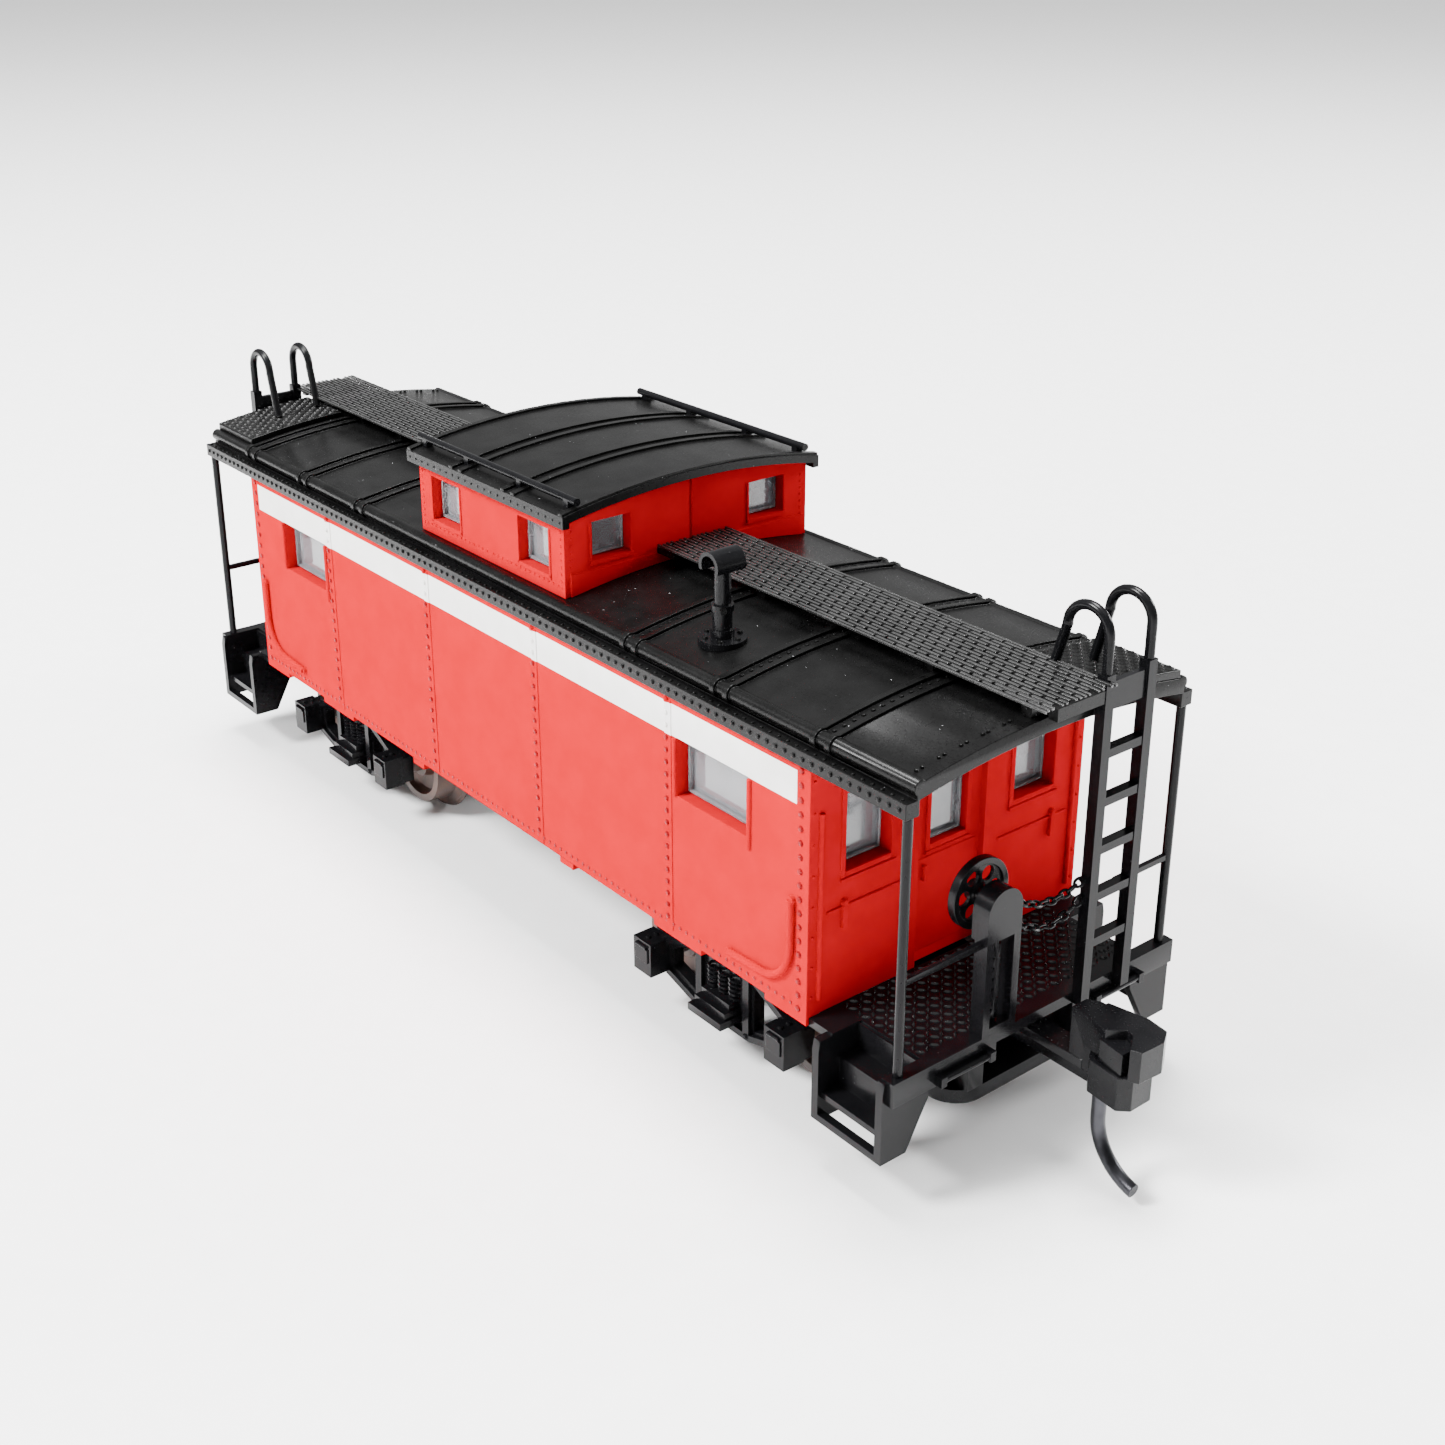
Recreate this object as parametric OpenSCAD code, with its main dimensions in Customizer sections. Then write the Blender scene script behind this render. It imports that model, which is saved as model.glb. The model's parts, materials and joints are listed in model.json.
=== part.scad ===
// Model caboose, 1:160: a steel-sided railway caboose with a cupola, riding on two swivelling trucks.
// X runs along the car, Y across it, Z up. The origin is on the ground under the middle of the car.
// End A is at +X. End B is the same end turned half a turn about Z.

/* [Body] */
// Length of the body shell
body_l = 52.1; // [51:0.1:53]
// Width of the body shell
body_w = 17.5; // [17.2:0.1:17.8]
// Lower edge of the side walls above the ground
body_bottom = 6.2; // [6.1:0.1:6.3]
// Top of the side walls, under the eaves
body_top = 18.85; // [18.5:0.05:19.2]
// Thickness of the body walls
wall = 0.8; // [0.7:0.05:0.9]
// Width of a side window
side_window_w = 5.1; // [4.5:0.1:5.4]
// Distance of the side windows from the middle of the car
side_window_x = 19.4; // [19:0.1:19.8]

/* [Roof] */
// Length of the roof over both end platforms
roof_l = 63.7; // [63:0.1:64.2]
// Width of the roof over its eaves
roof_w = 17.84; // [17.8:0.02:18.2]
// Height of the roof's crown
roof_crown = 21.05; // [20.9:0.05:21.2]
// Radius of the roof's arch
roof_r = 46; // [42:1:60]
// Thickness of the roof
roof_t = 0.75; // [0.6:0.05:0.9]
// Width of the running boards
board_w = 2.9; // [2.6:0.1:3.2]
// Top of the running boards
board_top = 21.95; // [21.85:0.05:22.1]

/* [Cupola] */
// Length of the cupola
cupola_l = 13.6; // [13.5:0.1:14.3]
// Width of the cupola
cupola_w = 15.6; // [15.4:0.1:15.8]
// Lower edge of the cupola roof's eaves
cupola_eave = 24.2; // [24.1:0.05:24.3]
// Height of the cupola roof's crown
cupola_crown = 25.65; // [25.5:0.05:25.9]
// Thickness of the cupola walls
cupola_wall = 0.7; // [0.6:0.05:0.8]

/* [End platforms] */
// Top of the platform deck
deck_top = 6.6; // [6.6:0.05:6.7]
// Outer face of the end sill
sill_x = 32.0; // [31.9:0.05:32.1]
// Half the width over the steps
step_y = 9.4; // [9.2:0.05:9.5]
// Diameter of the corner posts
post_d = 0.45; // [0.4:0.05:0.6]

/* [Trucks] */
// Distance of each truck's kingpin from the middle of the car
truck_x = 18.2; // [18:0.1:18.3]
// Distance between the two axles of a truck
wheelbase = 10.1; // [10:0.1:10.2]
// Radius of the wheel tread
tread_r = 2.6; // [2.5:0.05:2.65]
// Depth of the wheel flange
flange = 0.7; // [0.5:0.05:0.7]
// Half the distance between the backs of the two wheels
wheel_back = 3.8; // [3.75:0.01:3.85]
// Radius of the axle
axle_r = 0.6; // [0.5:0.05:0.65]

/* [Couplers] */
// Distance of the coupler's pivot post from the middle of the car
post_x = 27; // [26.8:0.1:27.1]
// Radius of the pivot post
post_r = 0.5; // [0.4:0.05:0.55]
// Radial clearance of every running fit
clear = 0.06; // [0.04:0.01:0.08]
// Underside of the coupler heads
head_bottom = 4.75; // [4.7:0.05:4.9]
// Top of the coupler heads
head_top = 8.0; // [7.8:0.05:8.2]

/* [Hidden] */
$fn = 48;
eps = 0.01;
half_l = body_l / 2;
half_w = body_w / 2;
rim_y = 8.15;
roof_cz = roof_crown - roof_r;
cupola_r = 41.6;
cupola_cz = cupola_crown - cupola_r;
cupola_roof_t = 0.42;
axle_z = tread_r + flange;
red = [0.78, 0.13, 0.12];
black = [0.09, 0.09, 0.10];
rust = [0.30, 0.19, 0.14];
steel = [0.55, 0.56, 0.58];
clear_grey = [0.70, 0.74, 0.78, 0.5];

// ---- shared shapes ----

// A box from its low corner to its high corner.
module span(low, high) translate(low) cube(high - low);

// A box centred across the car, given by its X range, its full width and its Z range.
module across(x0, x1, w, z0, z1) span([x0, -w / 2, z0], [x1, w / 2, z1]);

// The same thing at end B: half a turn about Z.
module far_end() rotate([0, 0, 180]) children();

module both_ends() {
    children();
    far_end() children();
}

module both_sides() {
    children();
    mirror([0, 1, 0]) children();
}

// A straight round rod between two points.
module rod(a, b, r) {
    d = b - a;
    len = norm(d);
    translate(a) rotate([0, acos(d[2] / len), atan2(d[1], d[0])]) cylinder(r = r, h = len);
}

// A cylinder lying across the car (along Y), from y0 to y1.
module axle(x, z, y0, y1, r) translate([x, y1, z]) rotate([90, 0, 0]) cylinder(r = r, h = y1 - y0);

// A solid whose top follows an arch: everything below the arch of radius r with its centre at cz.
module under_arch(r, cz, x0, x1, half_width, z0)
    intersection() {
        span([x0, -half_width, z0], [x1, half_width, cz + r + 1]);
        translate([x0 - 1, 0, cz]) rotate([0, 90, 0]) cylinder(r = r, h = x1 - x0 + 2, $fn = 360);
    }

// A round bar lying along X from x0.
module lying(x0, y, z, r, l, faces = 48) translate([x0, y, z]) rotate([0, 90, 0])
    cylinder(r = r, h = l, $fn = faces);

// ---- body ----

side_window = [13.95, 16.9];
end_window_y = 5.3;
end_window_w = 2.75;
end_window = [13.3, 17.1];
door_w = 4.2;
door_top = 17.6;
door_window = [12.6, 15.7];
door_window_w = 2.3;
door_depth = 0.35;
relief = 0.3;
tab_x = 7.4;

module side_window_holes(depth_low, depth_high, grow = 0)
    for (x = [-side_window_x, side_window_x])
        span([x - side_window_w / 2 - grow, depth_low, side_window[0] - grow],
             [x + side_window_w / 2 + grow, depth_high, side_window[1] + grow]);

module end_window_holes(x0, x1, grow = 0)
    for (y = [-end_window_y, end_window_y])
        span([x0, y - end_window_w / 2 - grow, end_window[0] - grow],
             [x1, y + end_window_w / 2 + grow, end_window[1] + grow]);

module body_outer()
    union() {
        span([-half_l, -half_w, body_bottom], [half_l, half_w, body_top]);
        under_arch(roof_r - roof_t - 0.02, roof_cz, -half_l, half_l, rim_y - 0.02, body_top - 1);
    }

// Shallow reliefs along the lower edge of each side wall, clear of the truck frames.
module sill_reliefs()
    for (span_x = [[-23.2, -18.6], [-14.9, 14.9], [18.6, 23.2]])
        span([span_x[0], -half_w - 1, body_bottom - 1], [span_x[1], half_w + 1, body_bottom + relief]);

module body_shell() color(red) {
    difference() {
        body_outer();
        span([-half_l + wall, -half_w + wall, body_bottom - 1], [half_l - wall, half_w - wall, 30]);
        sill_reliefs();
        side_window_holes(-half_w - 1, half_w + 1);
        both_ends() {
            end_window_holes(half_l - wall - 1, half_l + 1);
            across(half_l - wall - 1, half_l + 1, body_w - 2 * wall, body_bottom - 1, deck_top);
            span([half_l - door_depth, -door_w / 2, deck_top - 1], [half_l + 1, door_w / 2, door_top]);
            span([half_l - wall - 1, -door_window_w / 2, door_window[0]],
                 [half_l + 1, door_window_w / 2, door_window[1]]);
        }
    }
    for (x = [-tab_x, tab_x]) both_sides()
        span([x - 0.6, half_w - wall, body_bottom - 0.1],
             [x + 0.6, half_w - 0.05, body_bottom + relief + eps]);
}

// Clear window strips, set against the inside of the walls.
glass_t = 0.4;

module side_glazing()
    for (x = [-side_window_x, side_window_x])
        span([x - side_window_w / 2 - 0.6, half_w - wall - glass_t, side_window[0] - 0.6],
             [x + side_window_w / 2 + 0.6, half_w - wall, side_window[1] + 0.6]);

module side_glazing_left() color(clear_grey) side_glazing();
module side_glazing_right() color(clear_grey) mirror([0, 1, 0]) side_glazing();

module end_glazing()
    across(half_l - wall - glass_t, half_l - wall, 2 * end_window_y + end_window_w + 0.8,
           door_window[0] - 0.5, end_window[1] + 0.5);

module end_glazing_a() color(clear_grey) end_glazing();
module end_glazing_b() color(clear_grey) far_end() end_glazing();

// ---- roof ----

rib_x = [12.9, 19.6, 26.3];
bead_r = 0.36;
bead_y = 8.1;
bead_z = 20.08;
shelf_z = body_top + 0.75;

module roof_outer() {
    under_arch(roof_r, roof_cz, -roof_l / 2, roof_l / 2, 8.3, body_top);
    span([-roof_l / 2, -roof_w / 2, body_top], [roof_l / 2, roof_w / 2, shelf_z]);
    both_sides() lying(-roof_l / 2, bead_y, bead_z, bead_r, roof_l);
}

// One strap over a roof seam: two ridges a little apart, turned down over the bead at both eaves.
ridge_w = 0.34;
ridge_h = 0.17;
ridge_gap = 0.92;

module roof_strap(x)
    for (dx = [-ridge_gap / 2, ridge_gap / 2]) {
        x0 = x + dx - ridge_w / 2;
        under_arch(roof_r + ridge_h, roof_cz, x0, x0 + ridge_w, bead_y, shelf_z);
        both_sides() lying(x0, bead_y, bead_z, bead_r + 0.12, ridge_w);
    }

module roof() color(black) difference() {
    union() {
        roof_outer();
        both_ends() for (x = rib_x) roof_strap(x);
    }
    under_arch(roof_r - roof_t, roof_cz, -roof_l, roof_l, rim_y, 10);
    span([-roof_l, -rim_y, 10], [roof_l, rim_y, body_top + eps]);
    across(-cupola_l / 2 + 1, cupola_l / 2 - 1, cupola_w - 2, 15, 25);
}

// Running board from the cupola to past the end of the roof, on saddles.
module running_board() {
    x0 = cupola_l / 2 + 0.12;
    x1 = 32.9;
    across(x0, x1, board_w, board_top - 0.35, board_top);
    across(x0, x0 + 1.4, board_w + 1.6, board_top - 0.35, board_top);
    for (x = [x0 + 0.5, 13.9, 20.6, 25.3])
        difference() {
            across(x - 0.3, x + 0.3, board_w - 0.3, 20, board_top - 0.35);
            under_arch(roof_r + 0.02, roof_cz, x - 1, x + 1, board_w, 15);
        }
    difference() {
        across(30.9, 31.5, board_w, 20, board_top - 0.35);
        under_arch(roof_r + 0.02, roof_cz, 30, 32, board_w, 15);
    }
    across(x1 - 0.5, x1, board_w, board_top - 0.6, board_top - 0.35);
}

module running_board_a() color(black) running_board();
module running_board_b() color(black) far_end() running_board();

// Ribbed walkway pad on the roof beside the ladder.
module corner_walk()
    intersection() {
        difference() {
            under_arch(roof_r + 0.42, roof_cz, 27.2, roof_l / 2, 7.95, 19);
            under_arch(roof_r + 0.02, roof_cz, 26, 33, 9, 15);
        }
        span([27.2, board_w / 2 + 0.15, 19], [roof_l / 2, 7.95, 23]);
    }

module corner_walk_a() color(black) corner_walk();
module corner_walk_b() color(black) far_end() corner_walk();

// Stove chimney: a bolted flange, a thicker lower pipe with a clamp, and a half-round rain hood.
jack = [16.3, -5.6];
jack_top = 20.95;
hood_z = 24.5;
hood_r = 0.7;

module smoke_jack() color(black) translate([jack[0], jack[1], 0]) {
    difference() {
        union() {
            cylinder(r = 1.15, h = jack_top);
            cylinder(r = 0.55, h = jack_top + 0.4);
            cylinder(r = 0.46, h = jack_top + 1.5);
            cylinder(r = 0.4, h = hood_z + hood_r - 0.1);
            translate([0, 0, jack_top + 1.3]) cylinder(r = 0.54, h = 0.3);
        }
        lying(-5, -jack[1], roof_cz, roof_r + 0.02, 10, 360);
    }
    difference() {
        axle(0, hood_z, -0.83, 0.83, hood_r);
        axle(0, hood_z, -1, 1, hood_r - 0.2);
        span([-1, -1, hood_z - 2], [1, 1, hood_z - 0.25]);
    }
}

// ---- cupola ----

cupola_hx = cupola_l / 2;
cupola_hy = cupola_w / 2;
cupola_side_window = [21.3, 23.7];
cupola_side_window_x = 4.15;
cupola_side_window_w = 2.7;
cupola_end_window = [22.05, 24.05];
cupola_end_window_y = 5.0;
cupola_end_window_w = 2.35;

module cupola_windows() {
    for (x = [-cupola_side_window_x, cupola_side_window_x])
        across(x - cupola_side_window_w / 2, x + cupola_side_window_w / 2, cupola_w + 2,
               cupola_side_window[0], cupola_side_window[1]);
    for (y = [-cupola_end_window_y, cupola_end_window_y])
        span([-cupola_hx - 1, y - cupola_end_window_w / 2, cupola_end_window[0]],
             [cupola_hx + 1, y + cupola_end_window_w / 2, cupola_end_window[1]]);
}

module cupola_shell() color(red) difference() {
    union() {
        across(-cupola_hx, cupola_hx, cupola_w, 20, cupola_eave);
        under_arch(cupola_r - cupola_roof_t - 0.02, cupola_cz, -cupola_hx, cupola_hx,
                   cupola_hy - 0.02, 22);
        difference() {
            across(-cupola_hx - 0.12, cupola_hx + 0.12, 15.0, 20, 21.6);
            across(-cupola_hx + 0.5, cupola_hx - 0.5, 17, 19, 23);
        }
    }
    across(-cupola_hx + cupola_wall, cupola_hx - cupola_wall, cupola_w - 2 * cupola_wall, 19, 30);
    under_arch(roof_r + 0.02, roof_cz, -10, 10, 8.6, 15);
    cupola_windows();
    for (x = [-cupola_hx, cupola_hx]) across(x - 0.1, x + 0.1, 0.16, 21.7, 27);
}

module cupola_glazing() color(clear_grey) difference() {
    inset = cupola_wall;
    across(-cupola_hx + inset, cupola_hx - inset, cupola_w - 2 * inset, 21.2, 24.3);
    across(-cupola_hx + inset + glass_t, cupola_hx - inset - glass_t,
           cupola_w - 2 * (inset + glass_t), 20, 25);
}

module cupola_roof() color(black) {
    over = 0.55;
    half_y = 8.2;
    difference() {
        union() {
            under_arch(cupola_r, cupola_cz, -cupola_hx - over, cupola_hx + over, half_y, cupola_eave);
            for (x = [-7.1, -2.9, -2.0, 2.0, 2.9, 7.1])
                under_arch(cupola_r + 0.13, cupola_cz, x - ridge_w / 2, x + ridge_w / 2,
                           half_y - 0.02, cupola_eave + 0.3);
        }
        under_arch(cupola_r - cupola_roof_t, cupola_cz, -cupola_l, cupola_l, cupola_hy + 0.02, 20);
        across(-cupola_l, cupola_l, cupola_w + 0.04, 20, cupola_eave + eps);
    }
}

// Low handrail along one eave of the cupola roof, on short posts.
module cupola_rail() {
    y = 7.3;
    z = 25.42;
    rail_r = 0.2;
    rod([-7.3, y, z], [7.3, y, z], rail_r);
    difference() {
        for (x = [-6.6, -2.45, 2.45, 6.6])
            span([x - rail_r, y - rail_r, 24.5], [x + rail_r, y + rail_r, z]);
        under_arch(cupola_r + 0.02, cupola_cz, -9, 9, 9, 20);
    }
}

module cupola_rail_left() color(black) cupola_rail();
module cupola_rail_right() color(black) mirror([0, 1, 0]) cupola_rail();

// ---- floor, weight and kingpins ----

floor_z = [7.2, 8.0];
boss_z = 5.95;
kingpin_r = 0.75;

module floor_frame() color(black) difference() {
    union() {
        across(-half_l + wall + 0.05, half_l - wall - 0.05, body_w - 2 * wall - 0.1,
               floor_z[0], floor_z[1]);
        across(-14.5, 14.5, 3.0, 6.0, floor_z[0]);
        both_ends() {
            translate([truck_x, 0, boss_z]) cylinder(r = 2.2, h = floor_z[0] - boss_z);
            across(truck_x - 1.0, truck_x + 1.0, 13, 6.85, floor_z[0]);
        }
        for (x = [-9.5, -3.2, 3.2, 9.5]) across(x - 0.35, x + 0.35, 14, 6.7, floor_z[0]);
    }
    both_ends() translate([truck_x, 0, 5]) cylinder(r = kingpin_r, h = 4);
}

module ballast_weight() color(steel) across(-15.5, 15.5, 12.5, floor_z[1], floor_z[1] + 1.6);

// Pushed up through the truck bolster into the floor's boss.
bolster_z = [3.0, 5.85];

module kingpin() translate([truck_x, 0, 0]) {
    translate([0, 0, bolster_z[0] - 0.6]) cylinder(r = 1.3, h = 0.55);
    translate([0, 0, bolster_z[0] - clear]) cylinder(r = kingpin_r, h = floor_z[1] - bolster_z[0] + clear);
}

module kingpin_a() color(black) kingpin();
module kingpin_b() color(black) far_end() kingpin();

// ---- end platforms ----

deck_z = deck_top - 0.4;
sill_bottom = 5.4;
step_x = [27.2, 31.65];
step_in = 6.65;
step_bottom = 2.4;
lug_y = [2.9, 3.9];
plate_z = [2.8, 3.5];

// The side outline of a step: straight outer edge, inner edge cut back below.
module step_outline()
    polygon([[step_in, deck_top - 0.1], [step_y - 0.1, deck_top - 0.1], [step_y, deck_top - 0.6],
             [step_y, step_bottom], [step_y - 1.5, step_bottom], [step_in, step_bottom + 2.3]]);

module step_side(x0, x1)
    translate([x0, 0, 0]) rotate([90, 0, 90]) linear_extrude(x1 - x0) step_outline();

module step_well() {
    t = 0.42;
    step_side(step_x[0], step_x[0] + t);
    step_side(step_x[1] - t, step_x[1]);
    span([step_x[0], step_y - 0.42, step_bottom], [step_x[1], step_y, step_bottom + 0.35]);
    span([step_x[0], 7.85, 3.5], [step_x[1], 9.15, 3.8]);
    span([step_x[0], 7.85, 3.5], [step_x[1], 8.15, 5.2]);
    span([step_x[0], 6.9, 4.95], [step_x[1], 8.15, 5.25]);
    span([step_x[0], 6.75, 4.95], [step_x[1], 7.05, deck_top - 0.1]);
}

module end_platform() {
    across(half_l, sill_x, 13.8, deck_z, deck_top);
    span([half_l, -8.6, deck_z], [step_x[0] + 0.42, 8.6, deck_top]);
    difference() {
        across(sill_x - 0.7, sill_x, 2 * step_y - 0.5, sill_bottom, deck_top);
        across(sill_x - 1, sill_x + 1, 2 * lug_y[0], sill_bottom - 1, 6.05);
    }
    both_sides() {
        step_well();
        span([24.2, 5.6, deck_z], [half_l + eps, 7.8, deck_top]);
        span([24.2, 5.6, deck_z], [25.0, 7.8, floor_z[0]]);
        span([30.6, lug_y[0], plate_z[1] - eps], [31.35, lug_y[1], deck_z + eps]);
        translate([29.75, 3.1, plate_z[0]]) cylinder(r = 1.6, h = plate_z[1] - plate_z[0]);
    }
    across(28.6, 29.75, 9.4, plate_z[0], plate_z[1]);
    across(28.6, 31.35, 6.2, plate_z[0], plate_z[1]);
}

module end_platform_a() color(black) end_platform();
module end_platform_b() color(black) far_end() end_platform();

// Corner post with one handrail, from the end sill to the underside of the eaves.
rail_z = 11.15;
post_at = [31.6, 8.53];
stand_y = [-3.85, -1.75];
ladder_y = [2.25, 5.0];
stile = 0.55;
loop_wire = 0.46;
ladder_x = sill_x + stile / 2;

module corner_post(side)
    translate([post_at[0], side * post_at[1], deck_top]) cylinder(d = post_d, h = body_top - deck_top);

// A stretch of square handrail from y0 to y1, out to x1.
module rail(y0, y1, x1)
    span([post_at[0] - 0.12, y0, rail_z - 0.15], [x1, y1, rail_z + 0.15]);

module railing_left() {
    corner_post(1);
    rail(ladder_y[1] - 0.2, post_at[1], post_at[0] + 0.12);
    rail(ladder_y[1] - 0.2, ladder_y[1] + 0.2, sill_x);
}

module railing_right() {
    corner_post(-1);
    rail(-post_at[1], stand_y[0], post_at[0] + 0.12);
}

module railing_a_left() color(black) railing_left();
module railing_a_right() color(black) railing_right();
module railing_b_left() color(black) far_end() railing_left();
module railing_b_right() color(black) far_end() railing_right();

// Roof ladder with its two stiles looped over on to the walkway.
loop_z = 23.9;
loop_r = 1.15;
stile_top = 22.3;
rung_pitch = 2.34;

module stile_loop(y) {
    foot = [29.3, y, roof_cz + sqrt(pow(roof_r + 0.42, 2) - pow(y, 2)) + 0.1];
    span([ladder_x - stile / 2, y - stile / 2, sill_bottom + 0.7],
         [ladder_x + stile / 2, y + stile / 2, stile_top]);
    translate([ladder_x, y, stile_top - eps]) cylinder(d = loop_wire, h = loop_z - stile_top + eps);
    translate([ladder_x - loop_r, y, loop_z]) rotate([90, 0, 0])
        rotate_extrude(angle = 180) translate([loop_r, 0]) circle(d = loop_wire);
    translate([ladder_x - 2 * loop_r, y, loop_z]) sphere(d = loop_wire + 0.02);
    rod([ladder_x - 2 * loop_r, y, loop_z], foot, loop_wire / 2);
}

module ladder() {
    for (y = ladder_y) stile_loop(y);
    for (i = [0:4])
        span([ladder_x - 0.24, ladder_y[0], 9.0 + i * rung_pitch],
             [ladder_x + 0.24, ladder_y[1], 9.42 + i * rung_pitch]);
    span([ladder_x - 0.15, ladder_y[0], 20.6], [ladder_x + 0.15, ladder_y[1], 21.9]);
}

module ladder_a() color(black) ladder();
module ladder_b() color(black) far_end() ladder();

// Brake stand: a round-topped gear case on two legs, with the brake chain between them.
wheel_x = 30.55;
wheel_c = [-2.8, 12.8];
stand_x = [31.05, 32.0];
case_z = [11.25, 12.6];

module brake_stand() {
    mid = (stand_y[0] + stand_y[1]) / 2;
    half = (stand_y[1] - stand_y[0]) / 2;
    leg = 0.42;
    chain_line = 31.5;
    span([stand_x[0], stand_y[0], case_z[0]], [stand_x[1], stand_y[1], case_z[1]]);
    lying(stand_x[0], mid, case_z[1], half, stand_x[1] - stand_x[0]);
    for (y = [stand_y[0], stand_y[1] - leg])
        span([stand_x[0] + 0.2, y, deck_top], [stand_x[1], y + leg, case_z[0] + eps]);
    span([stand_x[0] + 0.2, stand_y[0], deck_top], [stand_x[1], stand_y[1], deck_top + 0.35]);
    translate([chain_line, mid, deck_top + 0.3]) cylinder(r = 0.16, h = case_z[0] - deck_top - 0.25);
    for (z = [7.3:0.52:10.9]) lying(chain_line - 0.15, mid, z, 0.27, 0.3);
    lying(wheel_x, wheel_c[0], wheel_c[1], 0.45, stand_x[0] - wheel_x + eps);
}

module brake_stand_a() color(black) brake_stand();
module brake_stand_b() color(black) far_end() brake_stand();

module brake_wheel() translate([wheel_x, wheel_c[0], wheel_c[1]]) rotate([0, -90, 0]) {
    r = 1.68;
    difference() {
        cylinder(r = r, h = 0.42);
        translate([0, 0, -1]) cylinder(r = r - 0.32, h = 3);
    }
    cylinder(r = 0.5, h = 0.6);
    difference() {
        translate([0, 0, 0.12]) cylinder(r = r - 0.2, h = 0.2);
        for (a = [0:60:300]) rotate(a + 30) translate([0.92, 0, -1]) cylinder(r = 0.34, h = 3);
    }
}

module brake_wheel_a() color(black) brake_wheel();
module brake_wheel_b() color(black) far_end() brake_wheel();

// Two sagging chains from the brake stand to the ladder, each moulded as one bar with beads.
chain_x = 31.75;
chain_r = 0.15;
chain_parts = 6;

// A point of a chain a share u of the way along it.
function chain_at(u, z0, z1, sag) = [
    chain_x + 0.35 * u,
    stand_y[1] + (ladder_y[0] - stile / 2 - stand_y[1]) * u,
    z0 + (z1 - z0) * u - 4 * sag * u * (1 - u)];

module chain(z0, z1, sag) {
    step = 1 / chain_parts;
    for (i = [0:chain_parts - 1])
        rod(chain_at(i * step, z0, z1, sag), chain_at((i + 1) * step, z0, z1, sag), chain_r);
    for (i = [1:chain_parts - 1])
        translate(chain_at(i * step, z0, z1, sag)) sphere(r = chain_r + 0.06);
}

// The chains end flat against the stand's side and the ladder's side.
module safety_chains() difference() {
    union() {
        chain(12.55, 12.5, 0.55);
        chain(11.5, 11.6, 0.75);
    }
    span([30, stand_y[0], 5], [34, stand_y[1], 15]);
    span([30, ladder_y[0] - stile / 2, 5], [34, ladder_y[1], 15]);
}

module safety_chains_a() color(black) safety_chains();
module safety_chains_b() color(black) far_end() safety_chains();

// Uncoupling rods along the face of the end sill, one on each side of the coupler.
module uncoupling_rods() both_sides() {
    rod([32.2, 3.3, 5.75], [32.2, 6.6, 5.75], 0.17);
    for (y = [3.3, 6.3]) span([sill_x, y, 5.5], [32.4, y + 0.35, 6.0]);
}

module uncoupling_rods_a() color(black) uncoupling_rods();
module uncoupling_rods_b() color(black) far_end() uncoupling_rods();

// ---- trucks ----

axle_x = wheelbase / 2;
side_in = 6.3;
side_out = 6.95;
journal_out = 8.2;
journal_w = 1.4;
bar_h = 0.25;

// Outline of a side frame in X and Z, measured from the truck centre.
module side_outline() polygon([
    [-5.75, 4.1], [-4.6, 4.25], [-2.1, 5.45], [2.1, 5.45], [4.6, 4.25], [5.75, 4.1],
    [5.75, 2.5], [4.3, 2.3], [2.0, 1.6], [-2.0, 1.6], [-4.3, 2.3], [-5.75, 2.5]]);

// The three-cornered opening between a column and a journal.
module side_opening() polygon([[2.15, 2.15], [4.1, 2.75], [4.1, 3.75], [2.15, 4.75]]);

// The bars that stand out along the top and bottom of the side frame.
module arch_bars() {
    polygon([[-4.6, 4.25], [-2.1, 5.45], [2.1, 5.45], [4.6, 4.25],
             [4.6, 3.85], [2.0, 5.1], [-2.0, 5.1], [-4.6, 3.85]]);
    polygon([[-4.4, 2.65], [-2.0, 1.95], [2.0, 1.95], [4.4, 2.65],
             [4.4, 2.3], [2.0, 1.6], [-2.0, 1.6], [-4.4, 2.3]]);
    for (x = [-1.8, 1.8]) translate([x - 0.22, 1.8]) square([0.44, 3.5]);
}

// The stepped leaves of the spring seat, longest at the bottom.
spring_z = [2.25, 2.65, 3.0, 3.35];
spring_y = [8.3, 7.95, 7.6];

module side_plates(out_y, thickness) translate([0, out_y, 0]) rotate([90, 0, 0])
    linear_extrude(thickness) children();

// A journal box with its lower front edge sloped back.
module journal_box(x) {
    bottom = axle_z - 0.9;
    difference() {
        span([x - journal_w / 2, side_out - eps, bottom], [x + journal_w / 2, journal_out, axle_z + 0.95]);
        translate([x - 1, journal_out, bottom]) rotate([-35, 0, 0]) cube([2, 1, 1]);
    }
}

module side_frame() {
    side_plates(side_out, side_out - side_in) difference() {
        side_outline();
        side_opening();
        mirror([1, 0]) side_opening();
    }
    side_plates(side_out + bar_h, bar_h + eps) arch_bars();
    for (x = [-axle_x, axle_x]) journal_box(x);
    for (i = [0:2])
        span([-1.25 + 0.1 * i, side_out - eps, spring_z[i]],
             [1.25 - 0.1 * i, spring_y[i], spring_z[i + 1]]);
}

// Cone bearings: the axle's tip and the cup it runs in.
tip_r = [axle_r, 0.08];
tip_y = 6.15;
tip_l = 0.8;
cup_r = [0.589, 0.0625];

module bearing_cups() both_sides()
    for (x = [-axle_x, axle_x])
        translate([x, side_in - eps, axle_z]) rotate([-90, 0, 0])
            cylinder(r1 = cup_r[0], r2 = cup_r[1], h = tip_l + eps);

box_x = [24.6, 29.6];
box_y = 2.2;
box_z = [4.6, 6.0];

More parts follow.
